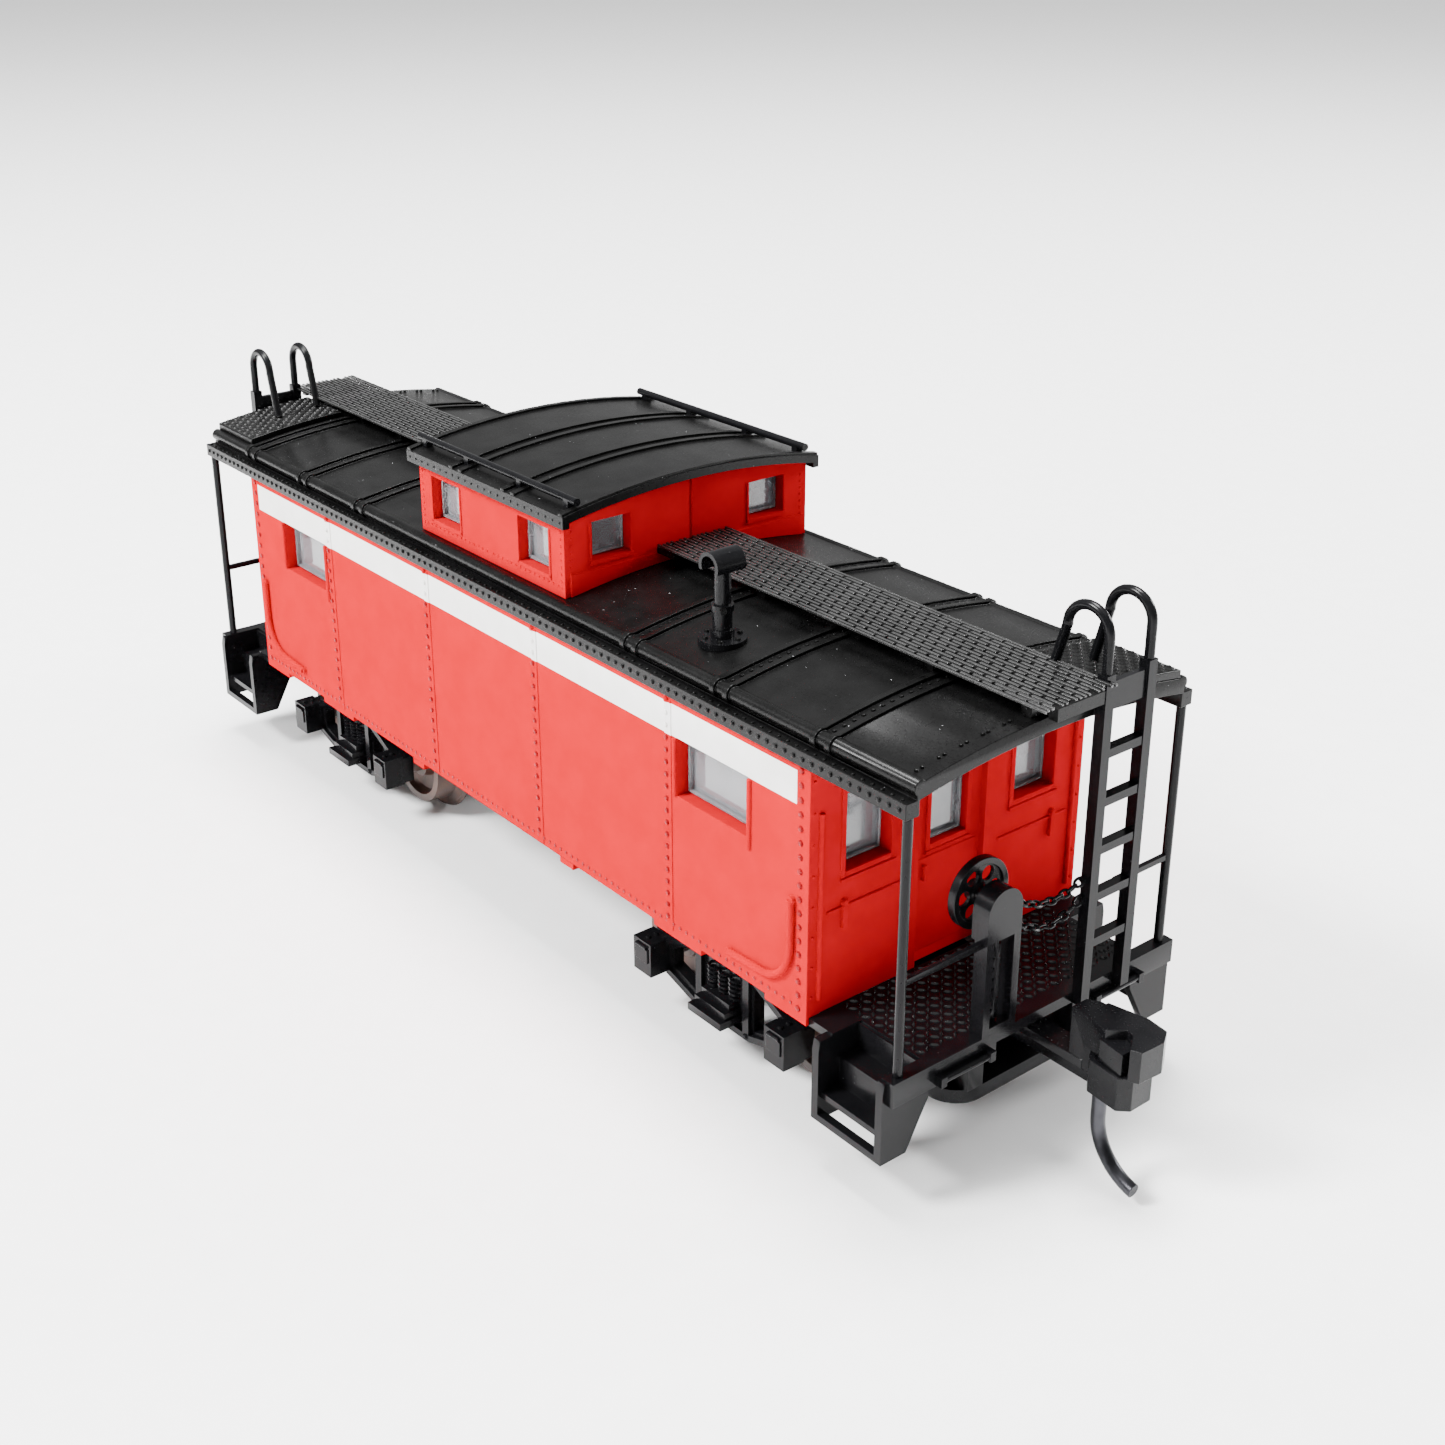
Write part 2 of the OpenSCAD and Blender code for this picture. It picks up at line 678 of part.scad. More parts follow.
// The truck frame: two side frames, the bolster between them and the arm to the coupler box.
module truck_frame() translate([truck_x, 0, 0]) {
    difference() {
        union() {
            both_sides() side_frame();
            across(-1.4, 1.4, 2 * side_in + eps, bolster_z[0], 5.45);
            cylinder(r = 2.0, h = bolster_z[1]);
        }
        cylinder(r = 2.1, h = bolster_z[0]);
        cylinder(r = kingpin_r + clear, h = 9);
        bearing_cups();
    }
    translate([-truck_x, 0, 0]) {
        across(truck_x + 1.4 - eps, box_x[0] + eps, 3.0, 4.7, 5.5);
        difference() {
            across(box_x[0], box_x[1], 2 * box_y, box_z[0], box_z[1]);
            across(box_x[0] + 0.5, box_x[1] + 1, 2 * box_y - 0.8, box_z[0] - 1, 5.75);
        }
        translate([post_x, 0, box_z[0]]) cylinder(r = post_r, h = 1.2);
    }
}

module truck_frame_a() color(black) truck_frame();
module truck_frame_b() color(black) far_end() truck_frame();

// One wheelset: two flanged wheels on a needle-pointed axle.
module wheel_profile() translate([0, wheel_back]) polygon([
    [axle_r - 0.1, 0], [tread_r + flange - 0.12, 0], [tread_r + flange, 0.2],
    [tread_r + flange - 0.12, 0.42], [tread_r + 0.04, 0.62], [tread_r - 0.06, 1.9],
    [tread_r - 0.5, 1.9], [tread_r - 0.7, 1.35], [axle_r + 0.5, 1.15],
    [axle_r + 0.35, 1.75], [axle_r - 0.1, 1.75]]);

module wheelset(x) translate([x, 0, axle_z]) rotate([-90, 0, 0]) {
    translate([0, 0, -tip_y]) cylinder(r = axle_r, h = 2 * tip_y);
    for (side = [0, 1]) mirror([0, 0, side]) {
        rotate_extrude($fn = 96) wheel_profile();
        translate([0, 0, tip_y - eps]) cylinder(r1 = tip_r[0], r2 = tip_r[1], h = tip_l + eps);
    }
}

module wheelset_a_outer() color(rust) wheelset(truck_x + axle_x);
module wheelset_a_inner() color(rust) wheelset(truck_x - axle_x);
module wheelset_b_outer() color(rust) far_end() wheelset(truck_x + axle_x);
module wheelset_b_inner() color(rust) far_end() wheelset(truck_x - axle_x);

module coupler_lid() {
    across(box_x[0], box_x[1], 2 * box_y, box_z[0] - 0.4, box_z[0]);
}

module coupler_lid_a() color(black) coupler_lid();
module coupler_lid_b() color(black) far_end() coupler_lid();

// ---- couplers: two halves that pivot on the same post like scissors ----

upper_z = [5.24, 5.68];
lower_z = [4.68, 5.18];

module half_shank(z, half, x_end)
    difference() {
        union() {
            translate([post_x, 0, z[0]]) cylinder(r = 1.15, h = z[1] - z[0]);
            across(post_x, x_end, 2 * half, z[0], z[1]);
        }
        translate([post_x, 0, 0]) cylinder(r = post_r + clear, h = 20);
    }

module extruded(z0, z1, points) translate([0, 0, z0]) linear_extrude(z1 - z0) polygon(points);

// Upper half: the head, with a throat cut into its left side.
head_seam = 6.42;

module coupler_head() {
    half_shank(upper_z, 0.6, 34.9);
    extruded(upper_z[0], head_top,
             [[34.1, -0.55], [35.3, -0.55], [35.3, 0.75], [34.7, 0.75], [34.1, 0.4]]);
    extruded(head_seam + 0.03, head_top, [[34.9, -0.55], [36.2, -0.8], [36.8, -0.1], [37.2, -0.25],
        [37.8, -1.15], [38.25, -0.95], [38.35, 0.4], [37.9, 1.15], [36.8, 1.3], [34.9, 0.9]]);
    extruded(head_seam + 0.03, head_top - 0.5, [[36.0, -0.9], [37.4, -1.1], [37.4, 0.2], [36.0, 0.2]]);
}

// Lower half: the knuckle, drilled for the trip pin.
pin_at = [36.0, -0.55];
pin_r = 0.33;

module coupler_knuckle()
    difference() {
        union() {
            half_shank(lower_z, 0.5, 35.6);
            extruded(head_bottom, head_seam - 0.03, [[35.4, -0.75], [35.7, -1.1], [37.4, -1.25],
                [37.85, -0.8], [37.85, 0.5], [37.3, 1.0], [35.4, 0.7]]);
        }
        translate([pin_at[0], pin_at[1], 0]) cylinder(r = pin_r, h = 20);
    }

// The trip pin: a bent steel wire that hangs from the lower half.
module trip_pin() {
    bend_r = 2.7;
    z_bend = 3.4;
    sweep = 80;
    translate([pin_at[0], pin_at[1], z_bend]) cylinder(r = pin_r, h = head_seam - 0.06 - z_bend);
    translate([pin_at[0] + bend_r, pin_at[1], z_bend]) rotate([90, 0, 0]) rotate([0, 0, 180])
        rotate_extrude(angle = sweep) translate([bend_r, 0]) circle(r = pin_r);
}

// Centring spring behind the pivot, its close-wound coils drawn as touching rings.
module coupler_spring()
    for (i = [0:3])
        translate([box_x[0] + 0.6 + 0.14 * i, 0, 5.15]) rotate([0, 90, 0])
            rotate_extrude() translate([0.24, 0]) circle(r = 0.08);

module coupler_head_a() color(black) coupler_head();
module coupler_head_b() color(black) far_end() coupler_head();
module coupler_knuckle_a() color(black) coupler_knuckle();
module coupler_knuckle_b() color(black) far_end() coupler_knuckle();
module trip_pin_a() color(steel) trip_pin();
module trip_pin_b() color(steel) far_end() trip_pin();
module coupler_spring_a() color(steel) coupler_spring();
module coupler_spring_b() color(steel) far_end() coupler_spring();

body_shell();
roof();
cupola_shell();
cupola_roof();
side_glazing_left();
side_glazing_right();
end_glazing_a();
end_glazing_b();
cupola_glazing();
running_board_a();
running_board_b();
corner_walk_a();
corner_walk_b();
cupola_rail_left();
cupola_rail_right();
smoke_jack();
floor_frame();
ballast_weight();
kingpin_a();
kingpin_b();
end_platform_a();
end_platform_b();
railing_a_left();
railing_a_right();
railing_b_left();
railing_b_right();
ladder_a();
ladder_b();
brake_stand_a();
brake_stand_b();
brake_wheel_a();
brake_wheel_b();
safety_chains_a();
safety_chains_b();
uncoupling_rods_a();
uncoupling_rods_b();
truck_frame_a();
truck_frame_b();
wheelset_a_outer();
wheelset_a_inner();
wheelset_b_outer();
wheelset_b_inner();
coupler_lid_a();
coupler_lid_b();
coupler_head_a();
coupler_head_b();
coupler_knuckle_a();
coupler_knuckle_b();
trip_pin_a();
trip_pin_b();
coupler_spring_a();
coupler_spring_b();
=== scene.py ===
"""Looks for a 1:160 model caboose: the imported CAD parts, softened edges, rivets, treads and paint."""

import json
import math
import random

import bmesh
import bpy
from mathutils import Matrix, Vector


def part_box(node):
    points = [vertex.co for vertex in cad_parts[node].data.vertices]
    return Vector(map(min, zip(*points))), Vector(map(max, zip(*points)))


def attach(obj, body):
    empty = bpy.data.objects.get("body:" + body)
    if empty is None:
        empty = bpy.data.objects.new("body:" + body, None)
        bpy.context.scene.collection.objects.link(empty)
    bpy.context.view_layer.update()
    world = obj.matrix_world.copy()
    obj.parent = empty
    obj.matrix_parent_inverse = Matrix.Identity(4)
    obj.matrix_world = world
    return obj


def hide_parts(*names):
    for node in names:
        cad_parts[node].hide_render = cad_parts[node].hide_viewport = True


MM = 0.001
ROOT = "car_body"
ENDS = {"a": 1, "b": -1}

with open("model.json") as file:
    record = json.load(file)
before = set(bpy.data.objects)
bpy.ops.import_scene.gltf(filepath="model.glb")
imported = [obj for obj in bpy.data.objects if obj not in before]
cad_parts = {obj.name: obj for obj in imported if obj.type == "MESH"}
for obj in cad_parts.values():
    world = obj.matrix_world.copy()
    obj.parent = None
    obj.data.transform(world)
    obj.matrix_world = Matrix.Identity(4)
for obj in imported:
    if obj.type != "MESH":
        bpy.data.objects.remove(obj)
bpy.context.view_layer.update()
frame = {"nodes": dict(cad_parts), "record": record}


def box_mm(node):
    """The low and high corners of a CAD node, in millimetres."""
    low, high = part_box(node)
    return low / MM, high / MM


BODY_HIGH = box_mm("body_shell")[1]
ROOF_HIGH = box_mm("roof")[1]
CUPOLA_HIGH = box_mm("cupola_shell")[1]
BOARD_LOW, BOARD_HIGH = box_mm("running_board_a")
WALK_LOW, WALK_HIGH = box_mm("corner_walk_a")
CUPOLA_ROOF_LOW, CUPOLA_ROOF_HIGH = box_mm("cupola_roof")
JACK_LOW, JACK_HIGH = box_mm("smoke_jack")

BODY_X, BODY_Y = BODY_HIGH.x, BODY_HIGH.y
ROOF_X, ROOF_Y = ROOF_HIGH.x, ROOF_HIGH.y
# All in millimetres, and as in part.scad where it has the same thing. _Z pairs are a bottom and a
# top; SEAMS and STRAPS are places along the car.
WALL, CUPOLA_WALL = 0.8, 0.7
ROOF_R, ROOF_CROWN = 46.0, 21.05
DECK_TOP = 6.6
EAVE_BOTTOM, SHELF_Z = 18.85, 19.6
SEAMS = (-16.2, -5.2, 5.2, 16.2)
SIDE_WINDOW_X, SIDE_WINDOW_W = 19.4, 5.1
SIDE_WINDOW_Z = (13.95, 16.9)
END_WINDOW_Y, END_WINDOW_W = 5.3, 2.75
END_WINDOW_Z = (13.3, 17.1)
DOOR_HALF, DOOR_DEPTH = 2.1, 0.35
DOOR_WINDOW_Z, DOOR_WINDOW_W = (12.6, 15.7), 2.3
BELT_Z = 11.5
BAND_Z, BAND_X = (16.9, 18.5), 25.2
TRUCK_X, AXLE_X, AXLE_Z = 18.2, 5.05, 3.3
CUPOLA_X = 6.8
CUPOLA_SIDE_X, CUPOLA_SIDE_W, CUPOLA_SIDE_Z = 4.15, 2.7, (21.3, 23.7)
CUPOLA_END_Y, CUPOLA_END_W, CUPOLA_END_Z = 5.0, 2.35, (22.05, 24.05)
STRAPS = (12.9, 19.6, 26.3)
RIVET_R, RIVET_H = 0.11, 0.08
SINK = 0.05  # how far a moulding starts inside the wall it stands on
CREASE = math.radians(38)  # edges sharper than this are bevelled and shaded sharp


def roof_z(y):
    """Height of the roof's arch over a point y across the car."""
    return ROOF_CROWN - ROOF_R + math.sqrt(ROOF_R * ROOF_R - y * y)


def steps(start, end, pitch):
    """Evenly spaced values from start to end, as near the pitch as they fit."""
    count = max(1, round((end - start) / pitch))
    return [start + (end - start) * i / count for i in range(count + 1)]


# ---- materials ----


class Nodes:
    """A short way to write a material's node tree."""

    def __init__(self, name):
        self.material = bpy.data.materials.new(name)
        self.material.use_nodes = True
        self.tree = self.material.node_tree
        self.shader = self.tree.nodes["Principled BSDF"]
        self.coords = self.new("ShaderNodeTexCoord").outputs["Object"]

    def new(self, kind, **settings):
        node = self.tree.nodes.new(kind)
        for key, value in settings.items():
            setattr(node, key, value)
        return node

    def link(self, source, target):
        self.tree.links.new(source, target)

    def noise(self, size_mm, detail=3.0):
        """Noise whose blobs are about size_mm across."""
        node = self.new("ShaderNodeTexNoise")
        node.inputs["Scale"].default_value = 1.0 / (size_mm * MM)
        node.inputs["Detail"].default_value = detail
        node.inputs["Roughness"].default_value = 0.55
        self.link(self.coords, node.inputs["Vector"])
        return node.outputs["Fac"]

    def ramp(self, source, stops):
        """A colour ramp through (position, grey or colour) stops."""
        node = self.new("ShaderNodeValToRGB")
        ramp = node.color_ramp
        while len(ramp.elements) < len(stops):
            ramp.elements.new(0.5)
        for element, (position, value) in zip(ramp.elements, stops):
            colour = (value, value, value) if isinstance(value, float) else value
            element.position = position
            element.color = (*colour, 1.0)
        self.link(source, node.inputs["Fac"])
        return node.outputs["Color"]

    def mix(self, factor, first, second):
        """first where factor is 0 and second where it is 1; colours or sockets."""
        node = self.new("ShaderNodeMix", data_type="RGBA")
        for socket, value in (("A", first), ("B", second)):
            target = next(s for s in node.inputs if s.name == socket and s.type == "RGBA")
            if isinstance(value, tuple):
                target.default_value = (*value, 1.0)
            else:
                self.link(value, target)
        self.link(factor, node.inputs["Factor"])
        return next(s for s in node.outputs if s.type == "RGBA")

    def math(self, operation, first, second):
        """One arithmetic node; each input is a number or a socket."""
        node = self.new("ShaderNodeMath", operation=operation)
        for socket, value in zip(node.inputs, (first, second)):
            if isinstance(value, (int, float)):
                socket.default_value = value
            else:
                self.link(value, socket)
        return node.outputs[0]

    def bump(self, height, depth_mm):
        """Fine relief in the shading, depth_mm deep."""
        node = self.new("ShaderNodeBump")
        node.inputs["Distance"].default_value = depth_mm * MM
        node.inputs["Strength"].default_value = 0.6
        self.link(height, node.inputs["Height"])
        self.link(node.outputs["Normal"], self.shader.inputs["Normal"])

    def set(self, **values):
        for name, value in values.items():
            self.shader.inputs[name.replace("_", " ")].default_value = value


DUST_COLOUR = (0.6, 0.6, 0.62)


def plastic(name, colour, dark, roughness, dust=0.0, grain=0.003, gloss=0.5):
    """Moulded, satin-painted plastic: mottled colour, fine grain and specks of dust."""
    n = Nodes(name)
    base = n.ramp(n.noise(1.7), [(0.35, dark), (0.65, colour)])
    speckle = n.noise(0.12, detail=2.0)
    if dust:
        specks = n.new("ShaderNodeTexVoronoi")
        specks.inputs["Scale"].default_value = 1.0 / (0.5 * MM)
        n.link(n.coords, specks.inputs["Vector"])
        spot = n.ramp(specks.outputs["Distance"], [(0.025, 1.0), (0.055, 0.0)])
        patch = n.ramp(n.noise(1.1, detail=1.0), [(0.48, 0.0), (0.6, 1.0)])
        amount = n.math("MULTIPLY", n.math("MULTIPLY", spot, patch), dust)
        base = n.mix(amount, base, DUST_COLOUR)
    n.link(base, n.shader.inputs["Base Color"])
    rough = n.ramp(speckle, [(0.3, roughness - 0.04), (0.7, roughness + 0.04)])
    n.link(rough, n.shader.inputs["Roughness"])
    n.bump(speckle, grain)
    n.set(Specular_IOR_Level=gloss)
    return n


def body_red():
    """Red satin paint with a plain white band under the eaves of both sides."""
    n = plastic("red_paint", (0.42, 0.003, 0.009), (0.385, 0.0025, 0.0075), 0.42, gloss=0.0)
    separate = n.new("ShaderNodeSeparateXYZ")
    n.link(n.coords, separate.inputs["Vector"])
    x, y, z = separate.outputs
    low = n.math("GREATER_THAN", z, BAND_Z[0] * MM)
    high = n.math("LESS_THAN", z, BAND_Z[1] * MM)
    outside = n.math("GREATER_THAN", n.math("ABSOLUTE", y, 0), (BODY_Y - 0.06) * MM)
    near = n.math("LESS_THAN", n.math("ABSOLUTE", x, 0), BAND_X * MM)
    band = n.math("MULTIPLY", n.math("MULTIPLY", low, high), n.math("MULTIPLY", outside, near))
    paint = n.shader.inputs["Base Color"].links[0].from_socket
    white = n.ramp(n.noise(1.2), [(0.3, (0.80, 0.79, 0.76)), (0.7, (0.86, 0.85, 0.83))])
    n.link(n.mix(band, paint, white), n.shader.inputs["Base Color"])
    return n.material


def clear_plastic():
    """The clear window strips: slightly grey, part see-through, with a glossy skin."""
    n = plastic("clear_plastic", (0.34, 0.35, 0.37), (0.30, 0.31, 0.33), 0.10, grain=0.0)
    n.set(Transmission_Weight=0.6, IOR=1.49, Coat_Weight=0.3)
    return n.material


def rusty_brown():
    """Mottled brown engineering plastic of the wheels."""
    n = plastic("brown_plastic", (0.055, 0.021, 0.011), (0.022, 0.010, 0.007), 0.5, dust=0.3)
    return n.material


def steel(name, colour, dark, roughness):
    """Bare or blackened metal, with a coarser grain than the plastic's."""
    n = plastic(name, colour, dark, roughness, grain=0.01)
    n.set(Metallic=1.0)
    return n.material


def grey(value):
    return (value, value, value)


RED = body_red()
# The plate rivets' darker red is painted shade: it stands in for the shading that makes the rivet heads
# look darker than the plates.
SHADED_RIVET_RED = plastic("rivet_red_painted_shade", (0.24, 0.002, 0.006), (0.20, 0.0015, 0.005), 0.36, gloss=0.1).material
BLACK = plastic("black_plastic", (0.004, 0.004, 0.0045), (0.0025, 0.0025, 0.003), 0.22,
                dust=0.12, gloss=0.11).material
ROOF_BLACK = plastic("roof_black", grey(0.003), grey(0.0012), 0.30, dust=0.7, gloss=0.12).material
BOARD_BLACK = plastic("board_black", grey(0.018), grey(0.010), 0.24, gloss=0.8).material
TREAD_BLACK = plastic("tread_black", grey(0.009), grey(0.005), 0.24, gloss=0.7).material
GLOSS_BLACK = plastic("gloss_black", (0.004, 0.004, 0.0045), (0.002, 0.002, 0.0025), 0.24,
                      dust=0.2, gloss=0.14).material
BROWN = rusty_brown()
CLEAR = clear_plastic()
DARK_STEEL = steel("dark_steel", (0.045, 0.045, 0.05), (0.016, 0.016, 0.018), 0.34)
WEIGHT_STEEL = steel("weight_steel", (0.45, 0.45, 0.46), (0.33, 0.33, 0.34), 0.4)

SLOT_LOOKS = {
    "red_body": RED,
    "black_fittings": BLACK,
    "coupler_black": GLOSS_BLACK,
    "blackened_steel": DARK_STEEL,
    "brown_wheels": BROWN,
    "clear_windows": CLEAR,
    "steel_weight": WEIGHT_STEEL,
}


# ---- meshes ----


class Pile:
    """Many small shapes, given in millimetres, that become one piece."""

    def __init__(self):
        self.verts, self.faces = [], []

    def add(self, verts, faces):
        base = len(self.verts)
        self.verts += [tuple(v) for v in verts]
        self.faces += [[base + i for i in face] for face in faces]

    def box(self, low, high):
        """A box between two corners."""
        xs, ys, zs = zip(low, high)
        corners = [Vector((x, y, z)) for x in xs for y in ys for z in zs]
        self.add(corners, [(0, 1, 3, 2), (4, 6, 7, 5), (0, 4, 5, 1),
                           (2, 3, 7, 6), (0, 2, 6, 4), (1, 5, 7, 3)])

    def rivet(self, at, normal, r=RIVET_R, h=RIVET_H, sides=8):
        """A domed head standing on a surface."""
        w = Vector(normal).normalized()
        u = w.orthogonal().normalized()
        v = w.cross(u)
        verts, faces = [], []
        for ring_r, ring_h in ((r, -0.02), (r, h * 0.3), (r * 0.72, h * 0.8)):
            for i in range(sides):
                a = 2 * math.pi * i / sides
                spoke = u * ring_r * math.cos(a) + v * ring_r * math.sin(a)
                verts.append(Vector(at) + spoke + w * ring_h)
        verts.append(Vector(at) + w * h)
        for first in (0, sides):
            for i in range(sides):
                j = (i + 1) % sides
                faces.append((first + i, first + j, first + sides + j, first + sides + i))
        faces += [(2 * sides + i, 2 * sides + (i + 1) % sides, 3 * sides) for i in range(sides)]
        faces.append(tuple(reversed(range(sides))))
        self.add(verts, faces)

    def tube(self, points, r, sides=10):
        """A round bar along a path, with closed ends."""
        points = [Vector(p) for p in points]
        verts, faces = [], []
        side = None
        for i, p in enumerate(points):
            ahead = (points[min(i + 1, len(points) - 1)] - points[max(i - 1, 0)]).normalized()
            side = ahead.orthogonal() if side is None else side - ahead * side.dot(ahead)
            side.normalize()
            up = ahead.cross(side)
            for k in range(sides):
                a = 2 * math.pi * k / sides
                verts.append(p + side * r * math.cos(a) + up * r * math.sin(a))
        for i in range(len(points) - 1):
            for k in range(sides):
                j = (k + 1) % sides
                faces.append((i * sides + k, i * sides + j,
                              (i + 1) * sides + j, (i + 1) * sides + k))
        last = (len(points) - 1) * sides
        faces.append(tuple(reversed(range(sides))))
        faces.append(tuple(last + k for k in range(sides)))
        self.add(verts, faces)

    def both_ends(self):
        """Everything so far again, turned half a turn about Z."""
        self.add([(-x, -y, z) for x, y, z in self.verts], list(self.faces))

    def piece(self, name, material, body, slot, bevel=0.0):
        """The pile as one Blender piece, in metres."""
        mesh = bpy.data.meshes.new(name)
        mesh.from_pydata([Vector(v) * MM for v in self.verts], [], self.faces)
        return finish_mesh(name, mesh, material, body, bevel)


def finish_mesh(name, mesh, material, body, bevel):
    """A piece from a mesh, with its paint, eased edges and body."""
    mesh.materials.clear()
    mesh.materials.append(material)
    mesh.shade_smooth()
    mesh.set_sharp_from_angle(angle=CREASE)
    obj = bpy.data.objects.new(name, mesh)
    bpy.context.scene.collection.objects.link(obj)
    if bevel:
        soft = obj.modifiers.new("soft_edges", "BEVEL")
        soft.width = bevel * MM
        soft.segments = 2
        soft.limit_method = "ANGLE"
        soft.angle_limit = CREASE
        soft.harden_normals = True
    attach(obj, body)
    return obj


BODIES = frame["record"]["behaviour"]["bodies"]
BODY_OF = {node: body for body, nodes in BODIES.items() for node in nodes}
SLOT_OF = {row["node"]: row["material_slot"] for row in frame["record"]["subparts"]}


def soften(node, material=None, bevel=0.05):
    """A CAD part's own shape with its edges eased, standing for the part."""
    mesh = frame["nodes"][node].data.copy()
    bm = bmesh.new()
    bm.from_mesh(mesh)
    bmesh.ops.remove_doubles(bm, verts=bm.verts, dist=1e-7)
    bmesh.ops.dissolve_limit(bm, angle_limit=math.radians(0.5), verts=bm.verts, edges=bm.edges)
    bm.to_mesh(mesh)
    bm.free()
    slot = SLOT_OF[node]
    obj = finish_mesh(node + "_soft", mesh, material or SLOT_LOOKS[slot], BODY_OF[node], bevel)
    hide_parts(node)
    return obj


# Bevel widths by what a node's name holds, and the width for all other nodes.
EDGE = {"wheelset": 0.06, "coupler": 0.10, "trip_pin": 0.03, "glazing": 0.03, "spring": 0.0}
OTHER_EDGE = 0.07
ROOF_NODES = ("roof", "cupola_roof", "running_board_a", "running_board_b",
              "corner_walk_a", "corner_walk_b")
for cad_node in SLOT_OF:
    if "safety_chains" in cad_node:
        continue
    width = next((w for key, w in EDGE.items() if key in cad_node), OTHER_EDGE)
    soften(cad_node, ROOF_BLACK if cad_node in ROOF_NODES else None, width)


# ---- body sides and ends ----


def side_rivets():
    """Rivet heads on the -Y side: those on the plates, which get a darker red as painted shade, and
    those under the white band's paint.
    """
    plates, banded = Pile(), Pile()
    face = -BODY_Y
    out = (0, -1, 0)
    corner_x, sill_x, sill_z, column_top = 25.5, 25.0, 6.95, 18.6
    columns = [(x - 0.05, face - SINK, 7.3, 0.64, 0.13) for x in SEAMS]
    columns += [(x, face, 6.9, 0.68, 0.15) for x in (-corner_x, corner_x)]
    for x, y, bottom, pitch, r in columns:
        for z in steps(bottom, column_top, pitch):
            in_band = z > BAND_Z[0] - 0.15 and abs(x) < BAND_X
            (banded if in_band else plates).rivet((x, y, z), out, r=r, h=0.11)
    for x in steps(-sill_x, sill_x, 0.5):
        plates.rivet((x, face, sill_z), out, r=0.1, h=0.06)
    return plates, banded


def side_mouldings():
    """Raised laps, window guides and grab irons moulded on the -Y side."""
    bars, laps = Pile(), Pile()
    face = -BODY_Y
    lap_bottom, lap_top = 6.6, EAVE_BOTTOM - 0.25
    for x in SEAMS:
        laps.box((x - 0.2, face - SINK, lap_bottom), (x + 0.28, face + 0.02, lap_top))
    guide_r, guide_top, grab_r, foot_r = 0.13, 16.85, 0.18, 0.2
    for side in (-1, 1):
        for edge, low in ((-1, 13.95), (1, 13.4)):
            x = side * SIDE_WINDOW_X + edge * (SIDE_WINDOW_W / 2 + guide_r)
            bars.tube([(x, face - 0.02, low), (x, face - 0.02, guide_top)], guide_r)
        corner, bend_x, bend_z, bend_top = 25.05, 2.0, 2.2, 9.9
        path = [(corner, 12.2), (corner, 11.0)]
        for a in range(0, 91, 9):
            t = math.radians(a)
            path.append((corner - bend_x * (1 - math.cos(t)), bend_top - bend_z * math.sin(t)))
        path.append((20.8, 7.58))
        bars.tube([(side * x, face - 0.14, z) for x, z in path], grab_r)
        for x, z in (path[0], path[-1]):
            bars.tube([(side * x, face + 0.1, z), (side * x, face - 0.2, z)], foot_r)
    return bars, laps


def end_details():
    """Frames, belt rails, latches, grab irons and door fittings on the +X end wall."""
    rivets, frames, bars = Pile(), Pile(), Pile()
    face = BODY_X
    proud, border = 0.07, 0.28
    latch_y, grab_y, rivet_y, handle_y = 6.7, 8.1, 8.5, -1.55

    def window_frame(y, width, z, x, sill):
        """Four raised sides round an opening, with a sill below that stands out further."""
        low, high = y - width / 2, y + width / 2
        frames.box((x, low - border, z[0] - border), (x + proud, low, z[1] + border))
        frames.box((x, high, z[0] - border), (x + proud, high + border, z[1] + border))
        frames.box((x, low, z[1]), (x + proud, high, z[1] + border))
        frames.box((x, low, z[0] - border), (x + proud, high, z[0]))
        frames.box((x, low - border, z[0] - border - 0.2),
                   (x + sill, high + border, z[0] - border - 0.02))

    for side in (-1, 1):
        window_frame(side * END_WINDOW_Y, END_WINDOW_W, END_WINDOW_Z, face, 0.14)
        low, high = sorted((side * 3.0, side * 7.7))
        frames.box((face, low, BELT_Z), (face + 0.1, high, BELT_Z + 0.14))
        low, high = sorted((side * (latch_y - 0.15), side * (latch_y + 0.15)))
        frames.box((face, low, BELT_Z - 0.95), (face + 0.2, high, BELT_Z + 0.2))
        bars.tube([(face + SINK, side * grab_y, 7.4), (face + SINK, side * grab_y, 16.6)], 0.14)
        for z in steps(7.6, 18.2, 1.6):
            rivets.rivet((face, side * rivet_y, z), (1, 0, 0), r=0.07)
        rivets.rivet((face + 0.02, side * latch_y, BELT_Z + 0.3), (1, 0, 0), r=0.2, h=0.22)
    door = face - DOOR_DEPTH
    window_frame(0, DOOR_WINDOW_W, DOOR_WINDOW_Z, door, 0.12)
    panel = DOOR_HALF - 0.25
    frames.box((door, -panel, 7.2), (door + 0.05, panel, 12.0))
    bars.tube([(door + 0.2, handle_y, 10.9), (door + 0.2, handle_y, 11.7)], 0.1)
    for z in (10.95, 11.65):
        bars.tube([(door, handle_y, z), (door + 0.22, handle_y, z)], 0.08)
    return rivets, frames, bars


rivet_pile, banded_pile = side_rivets()
rivet_pile.both_ends()
banded_pile.both_ends()
banded_pile.piece("band_rivets", RED, ROOT, "red_body")
bar_pile, lap_pile = side_mouldings()
bar_pile.both_ends()
lap_pile.both_ends()
end_rivets, end_frames, end_bars = end_details()
for part in (end_rivets, end_frames, end_bars):
    part.both_ends()
# The plate rivets take the darker red, which is painted shade.
rivet_pile.piece("side_rivets", SHADED_RIVET_RED, ROOT, "red_body")
bar_pile.piece("side_grab_irons", RED, ROOT, "red_body")
lap_pile.piece("side_laps", RED, ROOT, "red_body", bevel=0.02)
end_rivets.piece("end_rivets", RED, ROOT, "red_body")
end_frames.piece("end_window_frames", RED, ROOT, "red_body", bevel=0.025)
end_bars.piece("door_handles", RED, ROOT, "red_body")


